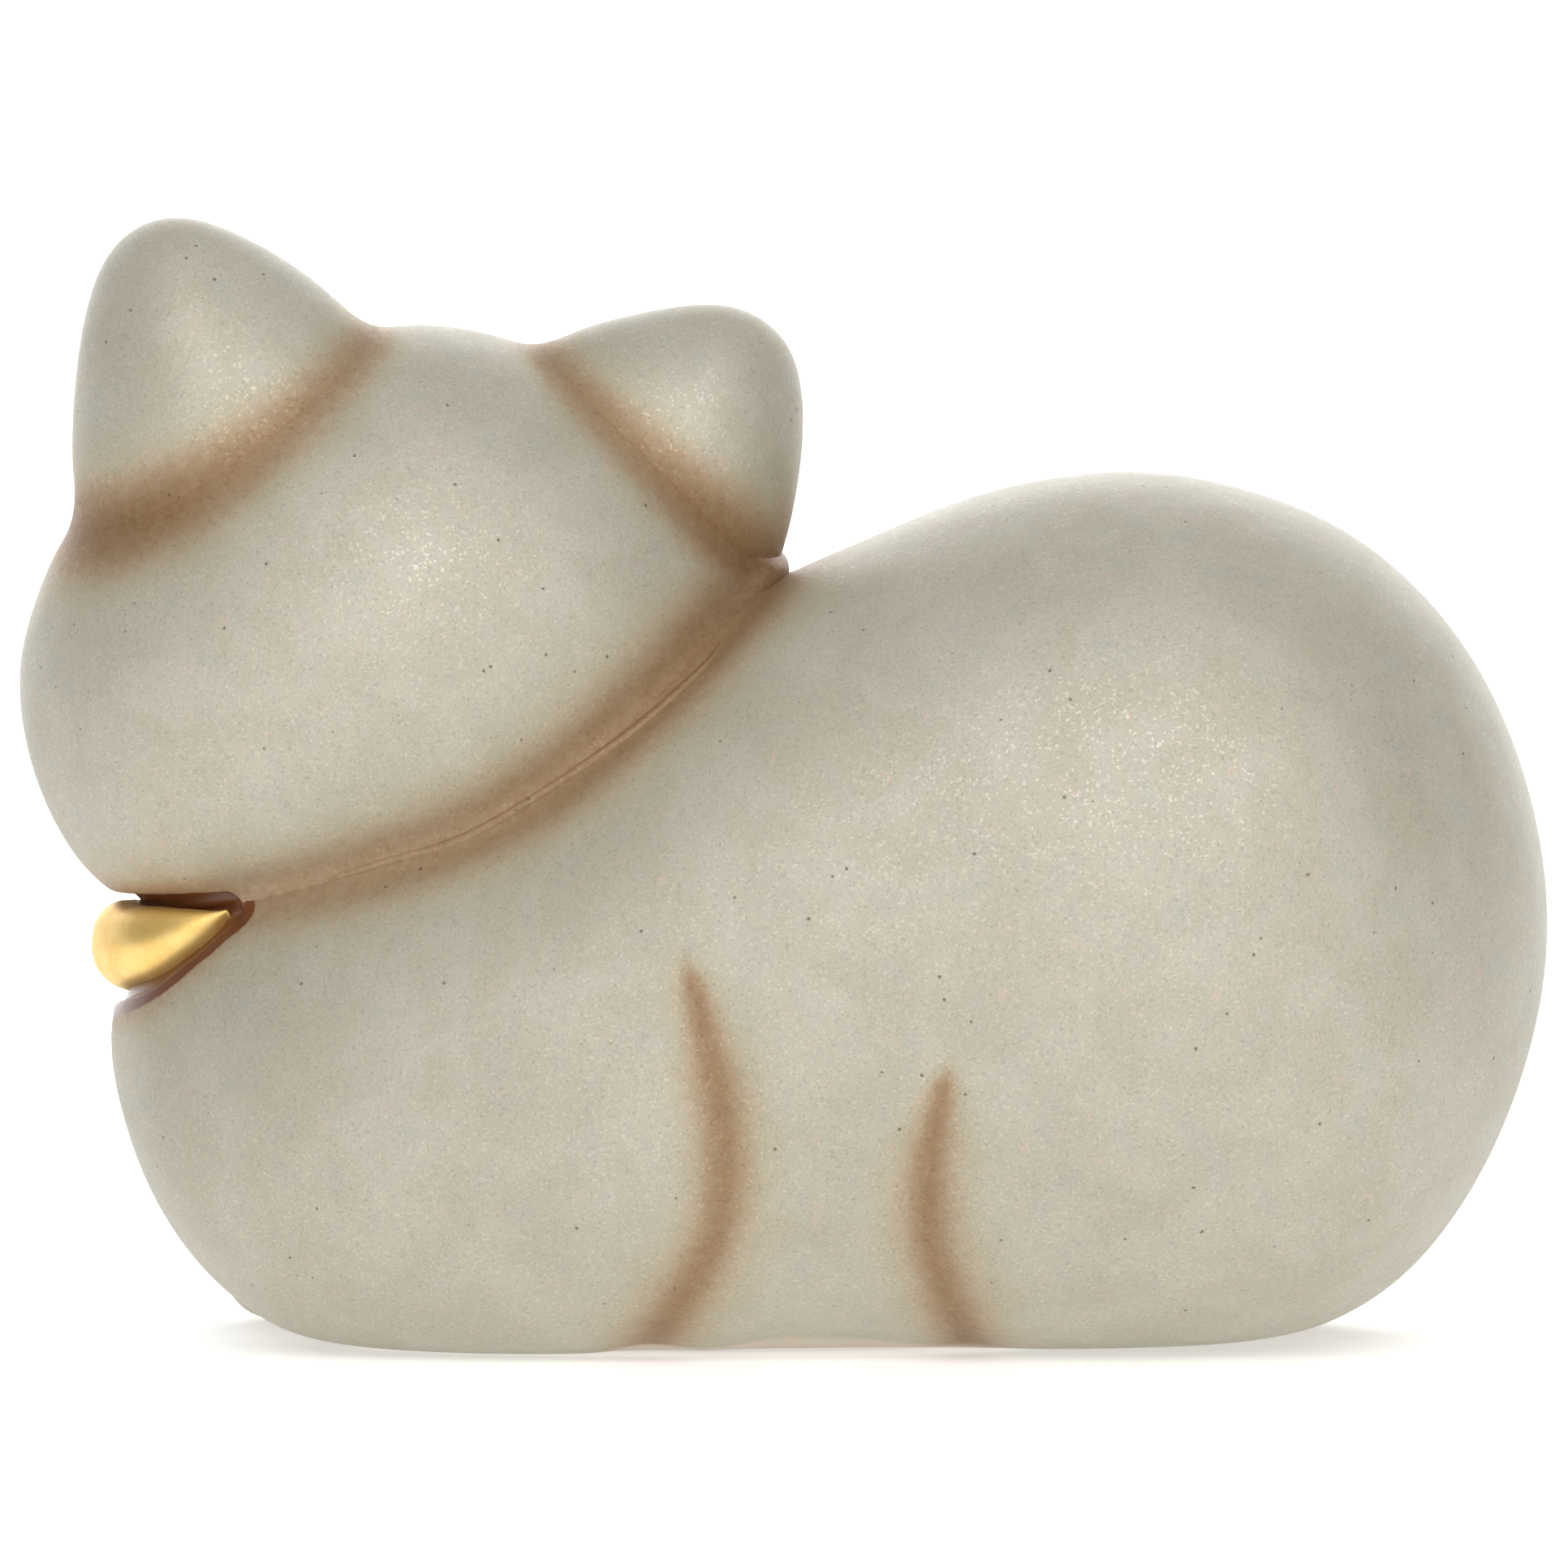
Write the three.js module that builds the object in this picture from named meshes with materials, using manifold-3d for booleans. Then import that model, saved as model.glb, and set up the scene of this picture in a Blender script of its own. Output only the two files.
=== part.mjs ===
// A resting cat figurine in glazed slip-cast earthenware, in millimetres.
// X runs from the head end to the rump, Y points to the side that the face looks at, and Z is up.
// The body is drawn by its side outline and its plan outline; its cross-sections are superellipses.
// The head and the ears are outlines in the XZ plane, puffed out to both sides of a mid-plane.
// The clay pieces are luted together with slip; nothing moves.
import * as THREE from "three";
import { mergeVertices } from "three/addons/utils/BufferGeometryUtils.js";
import Module from "manifold-3d";

const wasm = await Module();
wasm.setup();

const seamGap = 0.3; // slip line between two pieces
const wall = 4.2; // cast wall of the two hollow shells
const ventRadius = 5; // casting vent in the base
const airwayRadius = 7; // hole between the two hollows
const airwayPlace = [-34, 0];
const ventPlace = [-8, 0];
const footRecess = 1.2; // the base is hollowed this much inside its foot rim
const recessLength = 24; // half sizes of the oval recess
const recessWidth = 9;
const floorLevel = 5.5; // inside floor of the body's hollow
const beadRadius = 1.5;
const scarfThickness = 6.4;
const tailRadius = 7.5;
const lineRadius = 1.1; // slip-trailed lines of the face
const lineTaper = 0.35; // a line's end against its middle

const creaseDepth = 2.4;
const creaseWidth = 5;

// The side outline's points are [x, z]; the plan's are [x, half depth], from the chest to the rump.
const body = {
  centre: [6, 0, 36],
  roundness: 2.4,
  side: [
    [-66, 32], [-64.6, 22.3], [-60.6, 12.8], [-54, 5], [-44, -0.4], [-27.5, -3], [-8, -2],
    [10, -1.2], [30, -1.4], [47, 0.4], [59, 5.6], [67.4, 15.5], [73, 28.7], [75, 42], [72.7, 56],
    [67, 68.5], [58.3, 77.9], [48, 83.3], [34.5, 85.9], [20.2, 83.9], [5.9, 78.2],
    [-1, 75], [-12, 67.2], [-24, 58.5], [-38, 52.6], [-52, 47.4], [-62, 41.2],
  ],
  plan: [
    [-66, 0], [-62.5, 14], [-54, 24], [-42, 31], [-25, 36], [-5, 39], [15, 41.3], [33, 42.3],
    [50, 40], [63, 32], [72, 18], [75, 0],
  ],
};

// The puffed masses: outline points are [x, z], and depth is the half thickness at the centre.
const head = {
  centre: [-38, 0, 70],
  depth: 31,
  roundness: 2.1,
  outline: [
    [-66, 44.6], [-72.7, 54.1], [-75, 65], [-73.3, 73.2], [-69.5, 81], [-61, 90], [-50, 97],
    [-40.2, 99.9], [-32.3, 100.1], [-23.7, 97.7], [-13, 92], [-5, 84], [-1.5, 75], [-3, 65],
    [-10, 54.5], [-22, 45.5], [-36, 41], [-52, 40.2],
  ],
};

const leftEar = {
  centre: [-53.5, -7, 88],
  depth: 15,
  roundness: 2,
  outline: [
    [-68.9, 82.8], [-69.2, 92], [-67.9, 101.8], [-65.2, 108.2], [-59.7, 111], [-53, 109],
    [-46.6, 105.2], [-40.5, 99.5], [-36.5, 91], [-42, 80], [-54, 72], [-65, 74],
  ],
};

const rightEar = {
  centre: [-11.5, -3, 87.5],
  depth: 13,
  roundness: 2,
  outline: [
    [-23.7, 97.7], [-18, 100.4], [-8.4, 102.3], [-3.7, 101.9], [0.7, 98.6], [2.1, 92.3],
    [1.7, 85.9], [0.5, 79.6], [-0.8, 76], [-6, 72], [-16, 73], [-24, 80], [-27.5, 90],
  ],
};

// The ellipsoid that scoops a shallow dish out of the face side of each ear.
const leftDish = { centre: [-58, 9.5, 99], size: [7.5, 6, 9.5] };
const rightDish = { centre: [-7.5, 12, 95], size: [7, 6, 7] };

// Folds of the elbow and the haunch, as [x, z] from the top down, on both flanks.
const elbowFold = [[-9.2, 39], [-7.6, 34.3], [-5.4, 26], [-4.8, 19], [-6.4, 11.5], [-12.8, 1.5]];
const haunchFold = [[15.8, 30], [14.6, 24], [13.8, 18], [14.6, 10.4], [17.8, 1.5]];

// The luting bead runs down the back of the neck.
const neckLine = [
  [-3.2, 73.2], [-7.9, 66.9], [-16.1, 59.8], [-29.3, 51.3], [-38.8, 48.1], [-46.5, 45.8],
];

// The neckerchief goes round the chest: [x, y, z, half width], from its tip on the back of the neck.
const scarfLine = [
  [-53.5, -20, 43.2, 0.8], [-58.5, -15, 41.4, 3], [-63.5, -6, 39.9, 4.6], [-65.5, 4, 39.6, 5.6],
  [-60, 18, 39.8, 7], [-48, 26, 41.2, 8], [-36, 29, 44.2, 7.8], [-25, 29, 50, 6.2],
  [-15, 25, 57.2, 3.8], [-8, 20, 63.5, 0.9],
];

const tailLine = [[55, 10, 14], [56, 24, 9.2], [48, 34, 7.2], [38, 39.5, 6.6], [29, 41, 6.4]];

// Paws: centre and half sizes; the ground cuts their undersides flat.
const paws = {
  left_front_paw: { centre: [-48, 33, 7], size: [10.5, 13.5, 8.6] },
  right_front_paw: { centre: [-24, 35, 7], size: [10.5, 13.5, 8.6] },
  hind_paw: { centre: [10, 36, 6.4], size: [12.5, 10, 7.8] },
};

// Face, as [x, z] on the head's +Y side.
const leftEyeLine = [[-58.5, 67.5], [-55, 64.6], [-51, 64.1], [-47.6, 66]];
const rightEyeLine = [[-30.4, 66], [-27, 64.1], [-23, 64.6], [-19.5, 67.5]];
const mouthLine = [[-46.5, 56.4], [-43.4, 53.4], [-39, 56.2], [-34.6, 53.4], [-31.5, 56.4]];
const nosePlace = [-39, 60.2];
const noseSize = [3.6, 2.4, 2.6];

const glaze = { color: 0xc4beac, roughness: 0.45, metalness: 0.15 };
const gold = { color: 0xe1bd6d, roughness: 0.3, metalness: 0.85 };
const brownLine = { color: 0x5e3618, roughness: 0.35, metalness: 0 };

// Radius of a closed outline in any direction from its centre.
function outlineRadius({ outline, centre }) {
  const corners = outline.map(([x, z]) => new THREE.Vector3(x - centre[0], 0, z - centre[2]));
  const curve = new THREE.CatmullRomCurve3(corners, true);
  const rim = curve.getPoints(720).slice(1);
  const polar = rim.map((p) => ({ angle: Math.atan2(p.z, p.x), radius: p.length() }));
  polar.sort((a, b) => a.angle - b.angle);
  const first = polar[0];
  const last = polar[polar.length - 1];
  polar.push({ angle: first.angle + 2 * Math.PI, radius: first.radius });
  polar.unshift({ angle: last.angle - 2 * Math.PI, radius: last.radius });
  return (angle) => {
    const k = polar.findIndex((p) => p.angle > angle);
    const [a, b] = [polar[k - 1], polar[k]];
    return THREE.MathUtils.mapLinear(angle, a.angle, b.angle, a.radius, b.radius);
  };
}

// A mass knows how far its skin stands from its mid-plane at [x, z], and where its skin is in
// any direction from its centre.
function massOf(centrePoint, halfDepth) {
  const centre = new THREE.Vector3(...centrePoint);
  const skin = (direction) => {
    const ray = direction.clone().normalize();
    const point = new THREE.Vector3();
    let inside = 0;
    let outside = 200;
    while (outside - inside > 1e-4) {
      const middle = (inside + outside) / 2;
      point.copy(centre).addScaledVector(ray, middle);
      if (Math.abs(point.y - centre.y) < halfDepth(point.x, point.z)) inside = middle;
      else outside = middle;
    }
    return point;
  };
  return { centre, skin, halfDepth };
}

function puffed(shape) {
  const radiusAt = outlineRadius(shape);
  const [cx, , cz] = shape.centre;
  const power = shape.roundness;
  return massOf(shape.centre, (x, z) => {
    const flat = Math.hypot(x - cx, z - cz) / radiusAt(Math.atan2(z - cz, x - cx));
    return shape.depth * Math.max(0, 1 - flat ** power) ** (1 / power);
  });
}

// Lowest and highest point of a closed outline at any x.
function spanOf(outline) {
  const corners = outline.map(([x, height]) => new THREE.Vector3(x, height, 0));
  const rim = new THREE.CatmullRomCurve3(corners, true).getPoints(900);
  return (x) => {
    const span = [Infinity, -Infinity];
    for (let i = 1; i < rim.length; i++) {
      const [a, b] = [rim[i - 1], rim[i]];
      if (a.x === b.x || (a.x - x) * (b.x - x) > 0) continue;
      const height = THREE.MathUtils.mapLinear(x, a.x, b.x, a.y, b.y);
      span[0] = Math.min(span[0], height);
      span[1] = Math.max(span[1], height);
    }
    return span;
  };
}

function lofted(shape) {
  const sideSpan = spanOf(shape.side);
  const farSide = shape.plan.slice(1, -1).reverse().map(([x, depth]) => [x, -depth]);
  const planSpan = spanOf([...shape.plan, ...farSide]);
  const power = shape.roundness;
  return massOf(shape.centre, (x, z) => {
    const [low, high] = sideSpan(x);
    if (!(high > low)) return 0;
    const height = Math.abs((2 * (z - low)) / (high - low) - 1);
    return planSpan(x)[1] * Math.max(0, 1 - height ** power) ** (1 / power);
  });
}

const bodyMass = lofted(body);
const headMass = puffed(head);

function distanceToFold(fold, x, z) {
  const point = new THREE.Vector3(x, 0, z);
  const near = new THREE.Vector3();
  let least = Infinity;
  for (let i = 1; i < fold.length; i++) {
    const start = new THREE.Vector3(fold[i - 1][0], 0, fold[i - 1][1]);
    const end = new THREE.Vector3(fold[i][0], 0, fold[i][1]);
    new THREE.Line3(start, end).closestPointToPoint(point, true, near);
    least = Math.min(least, near.distanceTo(point));
  }
  return least;
}

// The elbow and haunch folds sink into the flanks.
function sinkFolds(point) {
  const distance = Math.min(
    distanceToFold(elbowFold, point.x, point.z),
    distanceToFold(haunchFold, point.x, point.z),
  );
  const depth = creaseDepth * Math.exp(-((distance / creaseWidth) ** 2));
  const inward = bodyMass.centre.clone().sub(point).normalize();
  return point.addScaledVector(inward, depth);
}

// Closed skin of a mass: an icosahedron's points sent out to the mass's surface.
function skinGeometry(mass, detail, finish = (point) => point) {
  const geometry = new THREE.IcosahedronGeometry(1, detail);
  geometry.deleteAttribute("normal");
  geometry.deleteAttribute("uv");
  const merged = mergeVertices(geometry, 1e-5);
  const position = merged.attributes.position;
  const point = new THREE.Vector3();
  for (let i = 0; i < position.count; i++) {
    const place = finish(mass.skin(point.fromBufferAttribute(position, i)));
    position.setXYZ(i, place.x, place.y, place.z);
  }
  return merged;
}

// The same surface moved along its normals: outwards for a clearance, inwards for a wall.
function offsetGeometry(geometry, distance) {
  const moved = geometry.clone();
  moved.computeVertexNormals();
  const { position, normal } = moved.attributes;
  for (let i = 0; i < position.count; i++) {
    position.setXYZ(
      i,
      position.getX(i) + distance * normal.getX(i),
      position.getY(i) + distance * normal.getY(i),
      position.getZ(i) + distance * normal.getZ(i),
    );
  }
  return moved;
}

// A bar of oval section along a curve, its width lying on the surface that it follows.
function barGeometry(curve, outwardAt, halfWidthAt, halfThicknessAt, steps, sides) {
  const positions = [];
  const indices = [];
  for (let i = 0; i <= steps; i++) {
    const t = i / steps;
    const centre = curve.getPoint(t);
    const along = curve.getTangent(t);
    const across = new THREE.Vector3().crossVectors(along, outwardAt(centre)).normalize();
    const out = new THREE.Vector3().crossVectors(across, along).normalize();
    for (let j = 0; j < sides; j++) {
      const turn = (2 * Math.PI * j) / sides;
      const point = centre.clone();
      point.addScaledVector(across, halfWidthAt(t) * Math.cos(turn));
      point.addScaledVector(out, halfThicknessAt(t) * Math.sin(turn));
      positions.push(point.x, point.y, point.z);
    }
  }
  for (let i = 0; i < steps; i++) {
    for (let j = 0; j < sides; j++) {
      const a = i * sides + j;
      const b = i * sides + ((j + 1) % sides);
      indices.push(a, b, a + sides, b, b + sides, a + sides);
    }
  }
  const lastRing = steps * sides;
  for (let j = 1; j < sides - 1; j++) {
    indices.push(0, j + 1, j);
    indices.push(lastRing, lastRing + j, lastRing + j + 1);
  }
  const geometry = new THREE.BufferGeometry();
  geometry.setAttribute("position", new THREE.Float32BufferAttribute(positions, 3));
  geometry.setIndex(indices);
  return geometry;
}

function solidOf(geometry) {
  const bare = geometry.clone();
  bare.deleteAttribute("normal");
  bare.deleteAttribute("uv");
  const merged = mergeVertices(bare, 1e-4);
  const triVerts = new Uint32Array(merged.index.array);
  const solid = new wasm.Manifold(
    new wasm.Mesh({ numProp: 3, vertProperties: merged.attributes.position.array, triVerts }),
  );
  if (solid.volume() > 0) return solid;
  for (let i = 0; i < triVerts.length; i += 3) {
    [triVerts[i + 1], triVerts[i + 2]] = [triVerts[i + 2], triVerts[i + 1]];
  }
  return new wasm.Manifold(
    new wasm.Mesh({ numProp: 3, vertProperties: merged.attributes.position.array, triVerts }),
  );
}

function meshOf(name, solid, finish) {
  const { vertProperties, triVerts } = solid.getMesh();
  const geometry = new THREE.BufferGeometry();
  geometry.setAttribute("position", new THREE.BufferAttribute(vertProperties, 3));
  geometry.setIndex(new THREE.BufferAttribute(triVerts, 1));
  geometry.computeVertexNormals();
  const mesh = new THREE.Mesh(geometry, new THREE.MeshStandardMaterial(finish));
  mesh.name = name;
  return mesh;
}

function ellipsoid([x, y, z], [a, b, c], columns, rows) {
  const geometry = new THREE.SphereGeometry(1, columns, rows);
  return solidOf(geometry.scale(a, b, c).translate(x, y, z));
}

function upright(radius, bottom, top, [x, y]) {
  const geometry = new THREE.CylinderGeometry(radius, radius, top - bottom, 24);
  geometry.rotateX(Math.PI / 2).translate(x, y, (bottom + top) / 2);
  return solidOf(geometry);
}

const below = (level) => solidOf(new THREE.BoxGeometry(400, 400, 100).translate(0, 0, level - 50));
const ground = below(0);

const bodySkin = skinGeometry(bodyMass, 10, sinkFolds);
const headSkin = skinGeometry(headMass, 8);
const bodyClear = solidOf(offsetGeometry(bodySkin, seamGap));
const headClear = solidOf(offsetGeometry(headSkin, seamGap));

// A shallow oval under the base, which leaves the flat foot rim round it.
function footRecessSolid() {
  const foot = [];
  for (let k = 0; k < 40; k++) {
    const turn = (2 * Math.PI * k) / 40;
    foot.push(new THREE.Vector2(recessLength * Math.cos(turn), recessWidth * Math.sin(turn)));
  }
  const settings = { depth: 2 * footRecess, bevelEnabled: false };
  const block = new THREE.ExtrudeGeometry(new THREE.Shape(foot), settings);
  return solidOf(block.translate(ventPlace[0], ventPlace[1], -footRecess));
}

function bodyShell() {
  const hollow = solidOf(offsetGeometry(skinGeometry(bodyMass, 5), -wall)).subtract(below(floorLevel));
  const vent = upright(ventRadius, -1, floorLevel + 3, ventPlace);
  const airway = upright(airwayRadius, 40, 62, airwayPlace);
  return solidOf(bodySkin)
    .subtract(ground)
    .subtract(hollow)
    .subtract(vent)
    .subtract(airway)
    .subtract(footRecessSolid());
}

function headShell() {
  const hollow = solidOf(offsetGeometry(skinGeometry(headMass, 4), -wall));
  return solidOf(headSkin).subtract(bodyClear).subtract(hollow);
}

function ear(shape, dish) {
  const cone = solidOf(skinGeometry(puffed(shape), 4));
  return cone
    .subtract(ellipsoid(dish.centre, dish.size, 14, 9))
    .subtract(headClear)
    .subtract(bodyClear);
}

// The point of the body's skin behind a guide point, and the way the skin faces there, roughly.
const onBody = ([x, y, z]) => bodyMass.skin(new THREE.Vector3(x, y, z).sub(bodyMass.centre));
const fromBody = (point) => new THREE.Vector3(0, point.y, 0).add(point).sub(bodyMass.centre);

function neckBead() {
  const points = neckLine.map(([x, z]) => {
    const depth = Math.max(headMass.halfDepth(x, z), bodyMass.halfDepth(x, z));
    return new THREE.Vector3(x, -depth, z);
  });
  const radius = (t) => beadRadius * (0.45 + 0.55 * Math.sin(Math.PI * t) ** 0.6);
  const outward = () => new THREE.Vector3(0.2, -1, 0.2);
  const bead = barGeometry(new THREE.CatmullRomCurve3(points), outward, radius, radius, 18, 6);
  return solidOf(bead).subtract(bodyClear).subtract(headClear);
}

function neckerchief() {
  const curve = new THREE.CatmullRomCurve3(scarfLine.map(onBody));
  const widths = new THREE.CatmullRomCurve3(scarfLine.map((p, i) => new THREE.Vector3(i, p[3], 0)));
  const halfWidth = (t) => widths.getPoint(t).y;
  const halfThickness = (t) => (scarfThickness / 2) * Math.min(1, 0.25 + halfWidth(t) / 6);
  const band = barGeometry(curve, fromBody, halfWidth, halfThickness, 26, 10);
  return solidOf(band).subtract(bodyClear).subtract(headClear);
}

function tail() {
  const curve = new THREE.CatmullRomCurve3(tailLine.map((p) => new THREE.Vector3(...p)));
  const radius = (t) => tailRadius * (1 - 0.18 * t) * Math.sqrt(Math.min(1, 0.05 + 5 * (1 - t)));
  const bar = barGeometry(curve, fromBody, radius, radius, 16, 12);
  return solidOf(bar).subtract(bodyClear).subtract(ground);
}

function paw({ centre, size }) {
  return ellipsoid(centre, size, 18, 11).subtract(bodyClear).subtract(ground);
}

function faceLine(line) {
  const points = line.map(([x, z]) => new THREE.Vector3(x, headMass.halfDepth(x, z), z));
  const radius = (t) => lineRadius * (lineTaper + (1 - lineTaper) * Math.sin(Math.PI * t));
  const outward = () => new THREE.Vector3(0, 1, 0);
  const bar = barGeometry(new THREE.CatmullRomCurve3(points), outward, radius, radius, 10, 6);
  return solidOf(bar).subtract(headClear);
}

function nose() {
  const [x, z] = nosePlace;
  return ellipsoid([x, headMass.halfDepth(x, z), z], noseSize, 14, 8).subtract(headClear);
}

const figurine = new THREE.Group();
figurine.add(meshOf("body_shell", bodyShell(), glaze));
figurine.add(meshOf("head_shell", headShell(), glaze));
figurine.add(meshOf("left_ear", ear(leftEar, leftDish), glaze));
figurine.add(meshOf("right_ear", ear(rightEar, rightDish), glaze));
figurine.add(meshOf("neck_slip_bead", neckBead(), glaze));
figurine.add(meshOf("gold_neckerchief", neckerchief(), gold));
figurine.add(meshOf("tail", tail(), glaze));
for (const [name, shape] of Object.entries(paws)) figurine.add(meshOf(name, paw(shape), glaze));
figurine.add(meshOf("nose", nose(), brownLine));
figurine.add(meshOf("left_eye_line", faceLine(leftEyeLine), brownLine));
figurine.add(meshOf("right_eye_line", faceLine(rightEyeLine), brownLine));
figurine.add(meshOf("mouth_line", faceLine(mouthLine), brownLine));

// The origin goes to the middle of the underside.
const box = new THREE.Box3().setFromObject(figurine);
const middle = box.getCenter(new THREE.Vector3());
figurine.position.set(-middle.x, -middle.y, -box.min.z);

const group = new THREE.Group();
group.add(figurine);

export default group;
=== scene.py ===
import math
import bmesh
import bpy
import numpy as np
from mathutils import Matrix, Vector


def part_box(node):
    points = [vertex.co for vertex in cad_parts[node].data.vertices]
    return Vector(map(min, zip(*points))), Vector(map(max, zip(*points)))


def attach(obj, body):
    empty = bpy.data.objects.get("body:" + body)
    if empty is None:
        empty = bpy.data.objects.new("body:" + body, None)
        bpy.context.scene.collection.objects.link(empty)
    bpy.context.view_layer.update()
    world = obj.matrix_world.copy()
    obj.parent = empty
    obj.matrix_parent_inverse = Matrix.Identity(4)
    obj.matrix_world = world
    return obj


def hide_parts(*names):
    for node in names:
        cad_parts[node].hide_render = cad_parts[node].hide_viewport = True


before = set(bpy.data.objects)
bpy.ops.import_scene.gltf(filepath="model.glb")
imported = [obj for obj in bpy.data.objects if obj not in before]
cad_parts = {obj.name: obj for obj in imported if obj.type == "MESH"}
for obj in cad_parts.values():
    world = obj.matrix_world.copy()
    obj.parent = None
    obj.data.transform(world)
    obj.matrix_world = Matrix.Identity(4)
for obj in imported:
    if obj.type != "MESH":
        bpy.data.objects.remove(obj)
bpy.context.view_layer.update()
print("frame loaded")

# The figurine is worked out in millimetres, X from chest to rump, Y towards the face, Z up.
# Each soft mass is a field of distances, and a piece's skin is where its field is nought.

mm = 0.001
fineness = 1.0


def smoothOutline(points, relax=2.5, count=1440):
    # Closed spline through the points, evenly stepped, with its small kinks relaxed away.
    here = np.array(points, float)
    before, after, beyond = np.roll(here, 1, 0), np.roll(here, -1, 0), np.roll(here, -2, 0)
    t = np.linspace(0, 1, 32, endpoint=False)[:, None, None]
    curve = 2 * here + (after - before) * t
    curve = curve + (2 * before - 5 * here + 4 * after - beyond) * t ** 2
    curve = (curve + (3 * here - before - 3 * after + beyond) * t ** 3) / 2
    curve = curve.transpose(1, 0, 2).reshape(-1, 2)
    closed = np.vstack([curve, curve[:1]])
    along = np.concatenate([[0], np.cumsum(np.linalg.norm(np.diff(closed, axis=0), axis=1))])
    even = np.linspace(0, along[-1], count, endpoint=False)
    ring = np.column_stack([np.interp(even, along, closed[:, k]) for k in (0, 1)])
    waves = np.fft.fftfreq(count, along[-1] / count)
    fade = np.exp(-2 * (np.pi * waves * relax) ** 2)
    return np.fft.ifft(np.fft.fft(ring, axis=0) * fade[:, None], axis=0).real


def smoothCurve(points, count):
    # Open spline through the points, evenly stepped.
    p = np.array(points, float)
    p = np.vstack([2 * p[0] - p[1], p, 2 * p[-1] - p[-2]])
    t = np.linspace(0, 1, 24, endpoint=False)[:, None]
    runs = []
    for a, b, c, d in zip(p[:-3], p[1:-2], p[2:-1], p[3:]):
        cubic = 2 * b + (c - a) * t + (2 * a - 5 * b + 4 * c - d) * t ** 2
        runs.append((cubic + (3 * b - a - 3 * c + d) * t ** 3) / 2)
    curve = np.vstack(runs + [p[-2:-1]])
    along = np.concatenate([[0], np.cumsum(np.linalg.norm(np.diff(curve, axis=0), axis=1))])
    even = np.linspace(0, along[-1], count)
    return np.column_stack([np.interp(even, along, curve[:, k]) for k in range(p.shape[1])])


class Mass:
    def slope(self, p, value):
        step = 0.15
        return np.array([(self.level(p + way * step) - 1 - value) / step for way in np.eye(3)])

    def base(self, p):
        value = self.level(p) - 1
        return value / np.maximum(np.linalg.norm(self.slope(p, value), axis=0), 1e-3)

    def distance(self, p):
        return self.base(p)


class Puffed(Mass):
    # An outline seen from the side, swelling to its full depth at the middle.
    def __init__(self, shape):
        self.centre = np.array(shape["centre"], float)
        ring = smoothOutline(shape["outline"]) - self.centre[[0, 2]]
        angle = np.arctan2(ring[:, 1], ring[:, 0])
        order = np.argsort(angle)
        self.angle = angle[order]
        self.radius = np.hypot(ring[order, 0], ring[order, 1])
        self.depth = shape["depth"]
        self.power = shape["roundness"]

    def level(self, p):
        q = p - self.centre
        angle = np.arctan2(q[:, 2], q[:, 0])
        radius = np.interp(angle, self.angle, self.radius, period=2 * np.pi)
        flat = np.hypot(q[:, 0], q[:, 2]) / radius
        deep = np.abs(q[:, 1]) / self.depth
        return (flat ** self.power + deep ** self.power) ** (1 / self.power)


class Lofted(Mass):
    # Rounded sections along X, between a side outline and a plan outline.
    def __init__(self, shape):
        self.centre = np.array(shape["centre"], float)
        self.power = shape["roundness"]
        self.low, self.high = self.chains(smoothOutline(shape["side"]))
        mirrored = [(x, -y) for x, y in shape["plan"][-2:0:-1]]
        plan = smoothOutline(shape["plan"] + mirrored)
        self.left, self.right = self.low[0, 0], self.low[-1, 0]
        self.plan = max(self.chains(plan), key=lambda chain: chain[:, 1].sum())
        span = self.plan[-1, 0] - self.plan[0, 0]
        fraction = (self.plan[:, 0] - self.plan[0, 0]) / span
        self.plan[:, 0] = self.left + fraction * (self.right - self.left)

    def chains(self, ring):
        ring = np.roll(ring, -ring[:, 0].argmin(), 0)
        last = ring[:, 0].argmax()
        return ring[:last + 1].copy(), np.vstack([ring[last:], ring[:1]])[::-1].copy()

    def level(self, p):
        x = np.clip(p[:, 0], self.left + 0.02, self.right - 0.02)
        low = np.interp(x, self.low[:, 0], self.low[:, 1])
        high = np.interp(x, self.high[:, 0], self.high[:, 1])
        depth = np.interp(x, self.plan[:, 0], self.plan[:, 1])
        height = np.abs((2 * p[:, 2] - low - high) / (high - low))
        deep = np.abs(p[:, 1]) / depth
        beyond = np.abs(p[:, 0] - x) * 5
        return (height ** self.power + deep ** self.power) ** (1 / self.power) + beyond

    def slope(self, p, value):
        # At its ends the level climbs too fast along X to be a measure of distance.
        slope = super().slope(p, value)
        most = 2 * np.hypot(slope[1], slope[2])
        slope[0] = np.clip(slope[0], -most, most)
        return slope


class Ellipsoid(Mass):
    def __init__(self, centre, size):
        self.centre = np.array(centre, float)
        self.size = np.array(size, float)

    def level(self, p):
        return np.linalg.norm((p - self.centre) / self.size, axis=1)


class Bar(Mass):
    def __init__(self, line, radius):
        self.line = line
        self.radius = radius

    def distance(self, p):
        gap = np.full(len(p), 1e9)
        for point, radius in zip(self.line, self.radius):
            gap = np.minimum(gap, np.linalg.norm(p - point, axis=1) - radius)
        return gap


class Hollow(Mass):
    # The room that the slip leaves inside the body, above the floor.
    def __init__(self, shell, wall, floor):
        self.shell = shell
        self.wall = wall
        self.floor = floor
        self.centre = shell.centre

    def distance(self, p):
        gap = smoothMax(self.shell.base(p) + self.wall, self.floor - p[:, 2], 4)
        ends = [self.shell.left + self.wall - p[:, 0], p[:, 0] - self.shell.right + self.wall]
        return smoothMax(gap, np.maximum(*ends), 4)


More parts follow.
